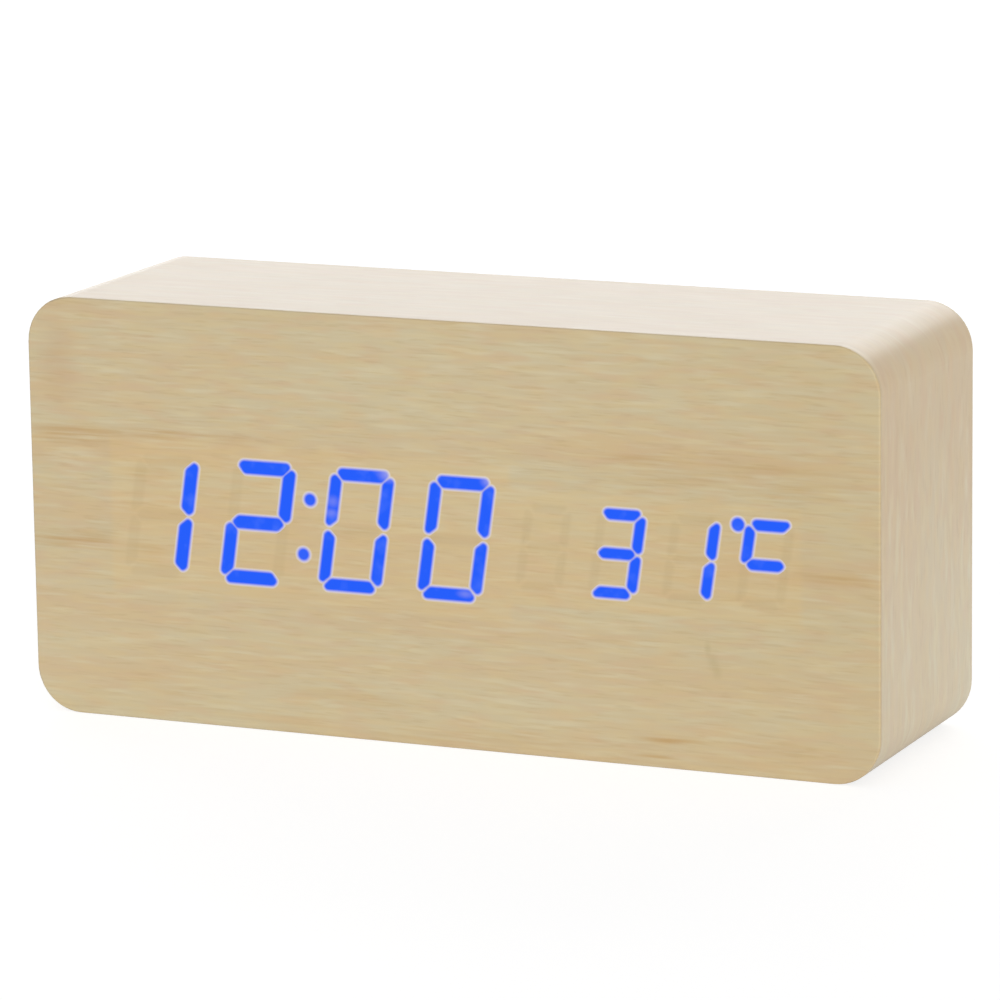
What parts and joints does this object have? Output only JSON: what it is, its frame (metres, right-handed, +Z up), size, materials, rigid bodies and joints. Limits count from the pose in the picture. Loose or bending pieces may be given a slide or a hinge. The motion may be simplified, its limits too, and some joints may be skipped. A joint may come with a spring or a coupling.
{
  "type": "digital alarm clock",
  "caption": "Wooden digital alarm clock with a lit time and temperature display behind its veneer front, rear push buttons, a power socket and a hinged battery door.",
  "frame": {"origin": "centre of the base on the surface that the clock stands on", "axes": "+X to the right along the front, +Y from the front to the back, +Z up"},
  "size_m": [0.15, 0.044, 0.0705],
  "materials": {
    "wood_veneer": "satin",
    "fibreboard": "matte",
    "white_plastic": "matte",
    "milky_plastic": "matte",
    "light_chip": "matte",
    "circuit_board": "gloss",
    "black_resin": "matte",
    "black_abs": "fine grain",
    "plated_steel": "plated",
    "grey_cable": "matte",
    "red_sleeve": "matte",
    "black_sleeve": "matte",
    "cell_sleeve": "printed sleeve",
    "capacitor_sleeve": "gloss",
    "resin_bead": "gloss"
  },
  "bodies": {
    "case": {"case_block": "fibreboard", "front_veneer": "wood_veneer", "side_veneer": "wood_veneer", "rear_veneer": "wood_veneer", "time_diffuser": "milky_plastic", "temperature_diffuser": "milky_plastic", "time_reflector": "white_plastic", "temperature_reflector": "white_plastic", "time_segment_lenses": "milky_plastic", "temperature_segment_lenses": "milky_plastic", "time_leds": "light_chip", "temperature_leds": "light_chip", "display_board": "circuit_board", "display_board_screws": "plated_steel", "time_driver_chip": "black_resin", "temperature_driver_chip": "black_resin", "display_header": "white_plastic", "ribbon_cable": "grey_cable", "main_header": "white_plastic", "main_board": "circuit_board", "main_board_screws": "plated_steel", "controller_chip": "black_resin", "clock_crystal": "plated_steel", "supply_capacitor": "capacitor_sleeve", "buzzer": "black_resin", "microphone": "plated_steel", "temperature_sensor": "resin_bead", "power_socket_shell": "plated_steel", "power_socket_core": "black_resin", "rear_cover": "black_abs", "rear_cover_screws": "plated_steel", "negative_contact": "plated_steel", "positive_contact": "plated_steel", "negative_wire": "black_sleeve", "positive_wire": "red_sleeve", "cell_link_1": "plated_steel", "cell_link_2": "plated_steel", "battery_cell_1": "cell_sleeve", "battery_cell_2": "cell_sleeve", "battery_cell_3": "cell_sleeve", "set_switch": "black_resin", "up_switch": "black_resin", "down_switch": "black_resin"},
    "set_key": {"set_button": "black_abs", "set_plunger": "black_resin"},
    "up_key": {"up_button": "black_abs", "up_plunger": "black_resin"},
    "down_key": {"down_button": "black_abs", "down_plunger": "black_resin"},
    "door": {"battery_door": "black_abs"}
  },
  "joints": [
    {"name": "set_press", "type": "slide", "parent": "case", "child": "set_key", "axis": [0, -1, 0], "range_m": [0, 0.0005], "stiffness_N_per_m": 600},
    {"name": "up_press", "type": "slide", "parent": "case", "child": "up_key", "axis": [0, -1, 0], "range_m": [0, 0.0005], "stiffness_N_per_m": 600},
    {"name": "down_press", "type": "slide", "parent": "case", "child": "down_key", "axis": [0, -1, 0], "range_m": [0, 0.0005], "stiffness_N_per_m": 600},
    {"name": "door_hinge", "type": "hinge", "parent": "case", "child": "door", "pos_m": [0.034, 0.02, 0.05205], "axis": [1, 0, 0], "range_deg": [0, 100]}
  ]
}
